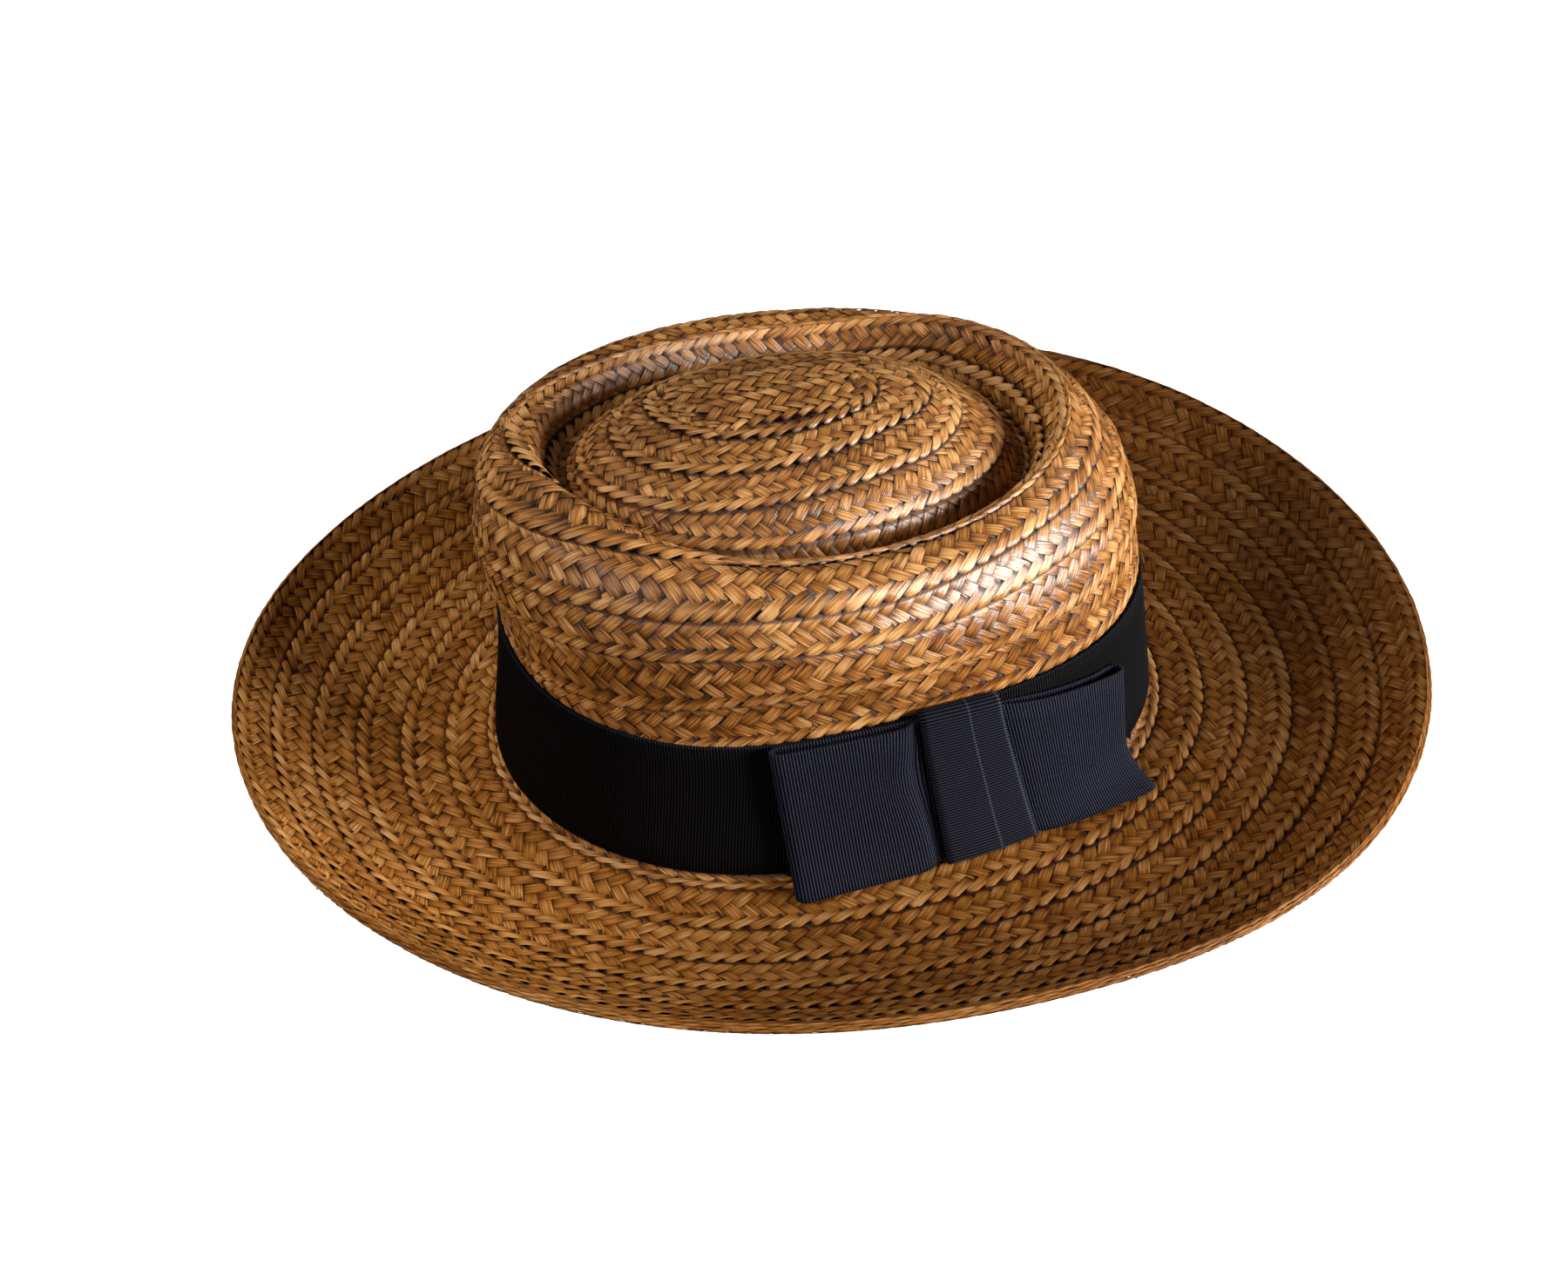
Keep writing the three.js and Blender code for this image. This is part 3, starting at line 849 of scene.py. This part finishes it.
def strawMaterial(name, onBrim):
    finish = strawFinishes[name]
    material = startMaterial(name, {"Specular IOR Level": finish["specular"]})
    maths = strandMaths(material.node_tree, None)
    u, v, _ = maths.node("ShaderNodeUVMap", {"uv_map": "strand"}).parts()
    fromSeam, fromEdge, _ = maths.node("ShaderNodeUVMap", {"uv_map": "edges"}).parts()
    x, y, z = maths.node("ShaderNodeTexCoord", None, None, 3).parts()
    tone = maths.node("ShaderNodeAttribute", {"attribute_name": "tone"})
    chance = maths.node("ShaderNodeSeparateColor", None, {0: tone})
    drift, other = chance.also(1), chance.also(2)
    fibre = maths.noise((u * 0.9 + chance * 40, v * 4.5 + other * 60, other * 30), 1.5, 4.0, 0.65)
    line = maths.noise((u * 0.6 + other * 30, v * 12 + chance * 50, chance * 20), 1.2, 2.0)
    ends = ((u - 0.5).size() * 2).between(0.76, 0.93)
    sides = ((v - 0.5).size() * 2).between(0.80, 0.97)
    # painted highlight along each row's free edge, which tilts up towards the lamps
    ropeHighlight = (1 - fromEdge.between(2.4, 3.2)) * 0.08
    # painted highlight along the middle of each strand and painted shade towards its ends, for the curve
    # of its arch
    archLight = ((u - 0.5) * 2).size()
    archLight = 0.12 - archLight * archLight * 0.3
    mood = (chance - 0.5) * finish["spread"] + drift * 0.12 + fibre * 0.75 + line * 0.8
    mood = ((mood + ropeHighlight + archLight - 0.88) * finish["contrast"] + 0.5).clamped()
    stops = [
        (0.18, strawColours["dark"]),
        (0.40, strawColours["brown"]),
        (0.62, strawColours["golden"]),
        (0.92, strawColours["pale"]),
    ]
    colour = maths.node("ShaderNodeValToRGB", {"stops": stops}, {0: mood})
    if onBrim:
        # painted shade: the brim darkens from the front towards the back
        deep = strawShades["middle"] * y.between(-0.14, -0.04)
        further = strawShades["back"] - strawShades["middle"]
        deep = deep + further * (y - x * 0.6).between(0.05, 0.15)
        colour = deep.blended(colour, (*strawColours["deep"], 1))
    else:
        # darker towards the foot of the crown, paler towards its top
        low = strawShades["crownLow"] * (1 - z.between(0.06, 0.1))
        colour = low.blended(colour, (*strawColours["deep"], 1))
        top = strawShades["crownTop"] * z.between(0.08, 0.115)
        colour = top.blended(colour, (*strawColours["crownTopTint"], 1))
    # painted shade at each strand's ends and sides, where it dives under its neighbours
    shadow = (ends * 0.9 + sides * finish["sides"]).clamped()
    colour = shadow.blended(colour, (*strawColours["dark"], 1))
    # painted shade under each row's free edge and on its folded part, darkest and widest on the side with
    # the bow
    seamShadeWeight = x.between(0.05, 0.11) if onBrim else 0.6
    seam = 1 - (fromSeam - seamShadeWeight * 0.45).between(0.4, 1.1)
    seam = (seam + 1 - fromEdge.between(-1.5, -0.8)).clamped()
    colour = (seam * (seamShadeWeight * 0.35 + 0.6)).blended(colour, (*strawColours["seam"], 1))
    roughness = finish["roughness"] + fibre * 0.16 + shadow * 0.35 + seam * 0.4
    relief = (line * 0.7 + fibre * 0.5).bump(0.7)
    varyMaterial(material, {"Base Color": colour, "Roughness": roughness, "Normal": relief})
    return material


# A thin dark shell between the outer and inner faces of the plait; its dark colour is painted shade,
# standing for the shaded straw seen through the gaps between strands
coreShadeLook = {"Base Color": (0.045, 0.015, 0.004, 1), "Roughness": 0.8, "Specular IOR Level": 0.1}
core = {"outerDepth": 1.2, "innerDepth": 1.4, "every": 2, "turns": 192, "lowestPoint": 0.0003}


def makeCore():
    every = hatForm["turns"] // core["turns"]
    stations = np.unique(np.concatenate([np.arange(0, lastStation, core["every"]), [lastStation]]))
    place = formPoint[::every][:, stations]
    normal = formNormal[::every][:, stations]
    columns, rows = place.shape[:2]
    outer = place - normal * core["outerDepth"]
    inner = place - normal * core["innerDepth"]
    points = toFrame(np.concatenate([outer, inner]).reshape(-1, 3))
    index = np.arange(columns * rows).reshape(columns, rows)
    index = np.concatenate([index, index[:1]])
    skin = gridFaces(index)
    back = skin[:, ::-1] + columns * rows
    first, second = index[:-1, 0], index[1:, 0]
    rim = np.stack([first, first + columns * rows, second + columns * rows, second], -1)
    points[:, 2] = np.maximum(points[:, 2], core["lowestPoint"])
    return makeMesh("plait_core", points, np.concatenate([skin, back, rim]))


brimFinish = strawMaterial("brimStraw", True)
crownFinish = strawMaterial("crownStraw", False)
corePiece = makeCore()
corePiece.data.materials.append(startMaterial("shadedStrawBetweenStrands", coreShadeLook))
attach(corePiece, "root")


# The band: a strip of ribbed ribbon round the foot of the crown
bandRibbon = {
    "width": 44.5,
    "hem": 0.8,
    "gap": 0.35,
    "thickness": 1.0,
    "rows": 9,
    "cover": 5,  # this far below its upper edge it hides the straw
}

ribs = {"pitch": 0.87, "height": 0.2, "sunk": 0.08, "perRib": 4}


def behindBand(turn, station):
    # true for strands that the band hides altogether
    lines = zip(turnIndex(turn), station)
    up = np.array([np.interp(s - headStation, crownStation, crownLength[k]) for k, s in lines])
    bandTop = bandRibbon["width"] + aroundTable(hatForm["bandRide"], turn)
    return (station > headStation + 1) & (up < bandTop - bandRibbon["cover"])


brimRows = (-1, brimRowCount)
sideRows = (brimRowCount, cordSeam)
topRows = (cordSeam, rowCount)
wovenPieces = [
    weaveRows("brim_plait_top", brimRows, 7, 4),
    weaveRows("crown_plait_side", sideRows, 7, 4, hidden=behindBand),
    weaveRows("crown_plait_top", topRows, 7, 4),
    weaveStart("crown_plait_start", 7, 4),
    weaveEdge("brim_edge_folds", 5, 5),
    weaveCord("crown_fold_cord", 5, 5),
    weaveRows("brim_plait_under", brimRows, 5, 3, inside=True),
    weaveRows("crown_plait_inside", (brimRowCount, rowCount), 5, 3, inside=True),
    weaveStart("crown_start_inside", 5, 3, inside=True),
]
for piece in wovenPieces:
    piece.data.materials.append(brimFinish if piece.name.startswith("brim") else crownFinish)
    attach(piece, "root")
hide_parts("crown_and_brim")


def ribbonSolid(name, middle, closed=False, perSpan=10):
    # middle is a grid of points, one line of controls along the ribbon for each row
    # across it. It is drawn out to ribs of one size and given its thickness.
    dense = middle if closed else smoothLine(middle, perSpan)
    length = lengthAlong(dense[dense.shape[0] // 2])
    count = int(round(length[-1] / ribs["pitch"])) * ribs["perRib"]
    at = np.linspace(0, length[-1], count + 1)
    if closed:
        at = at[:-1]
    grid = np.stack([readAlong(at, length, row) for row in dense])
    if closed:
        along = np.roll(grid, -1, 1) - np.roll(grid, 1, 1)
    else:
        along = np.gradient(grid, axis=1)
    normal = facing(np.cross(along, np.gradient(grid, axis=0)))
    phase = np.arange(grid.shape[1]) / ribs["perRib"]
    rib = ribs["height"] * np.abs(np.sin(np.pi * phase)) ** 0.8
    half = (bandRibbon["thickness"] / 2 - ribs["sunk"] + rib)[None, :, None]
    rows, columns = grid.shape[:2]
    points = toFrame(np.concatenate([grid + normal * half, grid - normal * half]).reshape(-1, 3))
    index = np.arange(rows * columns).reshape(rows, columns)
    if closed:
        index = np.concatenate([index, index[:, :1]], 1)
    skin = gridFaces(index)[:, [0, 3, 2, 1]]
    offset = rows * columns
    low = rimFaces(index[0, 1:], index[0, :-1], offset)
    high = rimFaces(index[-1, :-1], index[-1, 1:], offset)
    faces = [skin, skin[:, ::-1] + offset, low, high]
    if not closed:
        start = rimFaces(index[:-1, 0], index[1:, 0], offset)
        end = rimFaces(index[1:, -1], index[:-1, -1], offset)
        faces += [start, end]
    across = np.repeat(np.linspace(0, 1, rows), columns)
    u = np.tile(phase, rows)
    uv = np.tile(np.stack([u, across], -1), (2, 1))
    piece = makeMesh(name, points, np.concatenate(faces), uv)
    print(name, "ribs", count // ribs["perRib"], "length", round(length[-1], 1))
    return piece, length[-1]


def brimUnder(turn, out):
    # how high up the wall the brim lies, at a distance out from the wall
    lean = np.radians(aroundTable(hatForm["wallLean"], turn))
    station = headStation * (1 - out / brimWidthAt(turn))
    place, _ = sampleForm(turn, station)
    step = place - headLine(turn)
    return step[..., 2] * np.cos(lean) - np.hypot(step[..., 0], step[..., 1]) * np.sin(lean)


def makeBand():
    turn = np.linspace(0, 2 * np.pi, 1025)
    rise = np.linspace(0, 1, bandRibbon["rows"])
    out = bandRibbon["gap"] + bandRibbon["thickness"] / 2
    rows = []
    for share in rise:
        up = aroundTable(hatForm["bandRide"], turn) + bandRibbon["hem"]
        up = up + (bandRibbon["width"] - bandRibbon["hem"]) * share
        place, normal = sampleForm(turn, wallStation(turn, up))
        rows.append(place + normal * out)
    return ribbonSolid("ribbed_band", np.array(rows), closed=True)


bow = {
    "brimClearance": 0.95,
    "kickHeight": 15,
    "nearest": 2.2,
    "rises": (0, 0.04, 0.09, 0.15, 0.22, 0.32, 0.44, 0.58, 0.72, 0.86, 1),
    "shares": (0, 0.16, 0.26, 0.42, 0.64, 0.84, 1),
    # the crease beside the knot is widest above the middle
    "creaseWidth": 0.055,
    "creasePlace": 1.6,
    "foldBeyond": (0.9, 1.25, 0.9),
    "foldDepth": (0.2, 0.5, 0.8),
}
frontLoop = {
    "fold": {"turnTop": 65.2, "turnBottom": 69.3, "top": 44.8, "kick": 4.2},
    "root": {"turnTop": 93.5, "turnBottom": 96, "top": 46, "kick": 0.6},
    # share of the length, gap to the layer behind, how far it follows the crease
    "front": (
        (0, 0.35, 0),
        (0.15, 0.35, 0),
        (0.20, 0.45, 0.8),
        (0.24, 2.0, 1),
        (0.29, 2.6, 1),
        (0.42, 2.6, 0.4),
        (0.64, 2.4, 0),
        (0.84, 2.6, 0),
        (1, 3, 0),
    ),
}
backLoop = {
    "fold": {"turnTop": 130, "turnBottom": 130, "top": 39.5, "kick": 9.6},
    "root": {"turnTop": 98, "turnBottom": 104, "top": 46, "kick": 0.6},
    "front": (
        (0, 0.8, 0),
        (0.16, 0.9, 0),
        (0.26, 2, 0),
        (0.42, 2.5, 0),
        (0.64, 2.4, 0),
        (0.84, 2.6, 0),
        (1, 3, 0),
    ),
}
knotForm = {
    "frontTop": 88.9,
    "frontBottom": 92.2,
    "backTop": 103.2,
    "backBottom": 108.4,
    "columns": 12,
    "path": ((-2, 7.1), (3, 6.7), (9, 6.2), (23, 6), (40, 6), (46.3, 5.9), (47.8, 4.6), (47.9, 2.6)),
}


def makeLoop(name, loop):
    fold, root = loop["fold"], loop["root"]
    foldGap = loop["front"][-1][1] + 1
    stops = [(share, 0, bow["nearest"], 0) for share in bow["shares"]]
    for beyond, depth in zip(bow["foldBeyond"], bow["foldDepth"]):
        stops.append((1, beyond, bow["nearest"] + depth * foldGap, 0))
    for share, gap, follows in reversed(loop["front"]):
        stops.append((share, 0, bow["nearest"] + gap + 1, follows))
    towardsFront = fold["turnTop"] < root["turnTop"]
    if not towardsFront:
        stops.reverse()
    rows = []
    for rise in bow["rises"]:
        line = []
        crease = bow["creaseWidth"] * math.sin(math.pi * rise ** bow["creasePlace"]) ** 2
        for nominal, beyond, out, follows in stops:
            share = nominal + crease * follows
            rootTurn = mixed(root["turnBottom"], root["turnTop"], rise)
            foldTurn = mixed(fold["turnBottom"], fold["turnTop"], rise)
            turn = mixed(rootTurn, foldTurn, share) + (-beyond if towardsFront else beyond)
            turn = np.radians(np.array([turn]))
            lowKick = mixed(root["kick"], fold["kick"], share**1.5)
            bottom = brimUnder(turn, out + lowKick) + bow["brimClearance"]
            up = mixed(bottom, mixed(root["top"], fold["top"], share), rise)
            kick = lowKick * np.maximum(0, 1 - (up - bottom) / bow["kickHeight"]) ** 2
            line.append(onWall(turn, up, out + kick)[0])
        rows.append(line)
    return ribbonSolid(name, np.array(rows))


def makeKnot():
    rows = []
    for share in np.linspace(0, 1, knotForm["columns"] + 1):
        line = []
        for up, out in knotForm["path"]:
            rise = min(max(up / bandRibbon["width"], 0), 1)
            front = mixed(knotForm["frontBottom"], knotForm["frontTop"], rise)
            back = mixed(knotForm["backBottom"], knotForm["backTop"], rise)
            turn = np.radians(np.array([mixed(front, back, share)]))
            lowest = brimUnder(turn, out) + bow["brimClearance"]
            middleOut = out - bandRibbon["thickness"] / 2
            line.append(onWall(turn, np.maximum(up, lowest), np.array([middleOut]))[0])
        rows.append(line)
    return ribbonSolid("bow_knot_ribbon", np.array(rows)[::-1])


# One ribbon in three brightnesses: the bow's loops are painted lighter, as painted light where they face
# the lamps, and the band and knot darker, as painted shade. The valleys between the ribs are painted
# near-black, as painted shade.
ribbonColours = {
    "valleyShade": (0.0004, 0.0004, 0.0006),
    "bandRibShaded": (0.0055, 0.005, 0.006),
    "bowRibLit": (0.025, 0.028, 0.049),
    "knotRibShaded": (0.017, 0.019, 0.032),
    "worn": (0.036, 0.040, 0.062),
    "stitch": (0.04, 0.045, 0.066),
}


def ribbonMaterial(name, rib, stitchLines=()):
    # ribs across the ribbon; stitchLines are shares of its width with a row of stitches
    material = startMaterial(name, {"Specular IOR Level": 0.08})
    maths = strandMaths(material.node_tree, None)
    u, v, _ = maths.node("ShaderNodeUVMap", {"uv_map": "strand"}).parts()
    crest = maths.maths("SINE", u * math.pi).size()
    grain = maths.noise((u * 1.3, v * 60), 1.0, 3.0)
    patch = maths.noise((u * 0.07, v * 2.2), 1.0, 2.0)
    # painted shade in the valleys between the ribs; the ribs carry the ribbon's colour
    top = (crest.between(0.55, 0.95) * (0.3 + grain * 0.95)).clamped()
    colour = top.blended((*ribbonColours["valleyShade"], 1), (*rib, 1))
    edge = ((v - 0.5).size() * 2).between(0.965, 1.0)
    worn = (edge * 0.4 + patch.between(0.55, 0.85) * 0.12).clamped()
    colour = (worn * top).blended(colour, (*ribbonColours["worn"], 1))
    for share in stitchLines:
        stitch = (1 - (v - share).size().between(0.005, 0.016)) * crest.between(0.3, 0.7)
        colour = stitch.blended(colour, (*ribbonColours["stitch"], 1))
    relief = (crest + grain * 0.5).bump(0.6)
    varyMaterial(material, {"Base Color": colour, "Roughness": 0.85 - top * 0.2, "Normal": relief})
    return material


bandFinish = ribbonMaterial("bandRibbon", ribbonColours["bandRibShaded"])
bowFinish = ribbonMaterial("bowRibbon", ribbonColours["bowRibLit"])
knotFinish = ribbonMaterial("knotRibbon", ribbonColours["knotRibShaded"], (0.03, 0.42))
# what each ribbon stands for, and how it is laid; its width is that of the flat ribbon
ribbonColumns = ("made", "node", "finish", "width", "held", "on")
ribbons = [
    dict(zip(ribbonColumns, row))
    for row in (
        (makeBand(), "hat_band", bandFinish, 43.7, "stretched", "crown_and_brim"),
        (makeLoop("bow_loop_front", frontLoop), "bow_front_loop", bowFinish, 46, "folded", "ribbed_band"),
        (makeLoop("bow_loop_back", backLoop), "bow_back_loop", bowFinish, 46, "folded", "ribbed_band"),
        (makeKnot(), "bow_knot", knotFinish, 26, "folded", "ribbed_band"),
    )
]
for ribbon in ribbons:
    piece, length = ribbon["made"]
    piece.data.materials.append(ribbon["finish"])
    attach(piece, "root")
    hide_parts(ribbon["node"])
    flat = (ribbon["width"] * millimetre, round(length, 1) * millimetre)
    print(piece.name, "flat size", flat)

# Camera, lights and floor
bpy.context.scene.view_settings.view_transform = "Standard"

view = {"azimuth": 70, "elevation": 40, "distance": 0.8, "aim": (-0.0148, -0.0103, 0.0128), "lens": 59.88}


def placeRound(holder, spot, aim):
    # puts a camera or a lamp at a place round the hat, facing the aim
    a = math.radians(spot["azimuth"])
    e = math.radians(spot["elevation"])
    away = np.array([math.sin(a) * math.cos(e), -math.cos(a) * math.cos(e), math.sin(e)])
    holder.location = np.array(aim) + away * spot["distance"]
    holder.rotation_euler = (math.radians(90 - spot["elevation"]), 0, a)
    bpy.context.scene.collection.objects.link(holder)


def addCamera():
    camera = bpy.data.cameras.new("camera")
    camera.lens = view["lens"]
    camera.sensor_width = 36
    camera.clip_start = 0.01
    holder = bpy.data.objects.new("camera", camera)
    placeRound(holder, view, view["aim"])
    bpy.context.scene.camera = holder


lightColumns = ("name", "azimuth", "elevation", "distance", "size", "watts")
lights = [
    dict(zip(lightColumns, row))
    for row in (
        ("window", 128, 15, 1.2, 0.4, 17),
        ("windowEdge", 150, 15, 1.2, 0.4, 16),
        ("roomFill", 5, 38, 1.4, 0.9, 12),
        ("roomFront", 30, 20, 1.4, 0.9, 3),
        ("roomBack", 290, 36, 1.4, 0.9, 6),
    )
]
lightColour = (1, 0.98, 0.96)
lightAim = (0, 0, 0.05)
# the room's wide lights are too dim to be seen as a gloss on the straw
glossLights = ("window", "windowEdge", "roomFront")


def addLights():
    for lamp in lights:
        data = bpy.data.lights.new(lamp["name"], "AREA")
        data.shape = "DISK"
        data.size = lamp["size"]
        data.energy = lamp["watts"]
        data.color = lightColour
        holder = bpy.data.objects.new(lamp["name"], data)
        holder.visible_glossy = lamp["name"] in glossLights
        placeRound(holder, lamp, lightAim)


floorLook = {
    "Base Color": (0.9, 0.9, 0.9, 1),
    "Roughness": 0.9,
    "Emission Color": (1, 1, 1, 1),
    "Emission Strength": 0.75,
}


def addFloor():
    bpy.ops.object.select_all(action="DESELECT")
    bpy.ops.mesh.primitive_plane_add(size=12, location=(0, 0, -0.0002))
    floor = bpy.context.object
    floor.name = "studio_floor"
    floor.data.materials.append(startMaterial("paleFloor", floorLook))
    floor.visible_diffuse = False
    floor.visible_glossy = False
    world = bpy.data.worlds.new("studio")
    world.use_nodes = True
    background = world.node_tree.nodes["Background"]
    background.inputs["Color"].default_value = (1, 1, 1, 1)
    background.inputs["Strength"].default_value = 0.03
    bpy.context.scene.world = world


addCamera()
addLights()
addFloor()
print("camera, lights and floor ready")
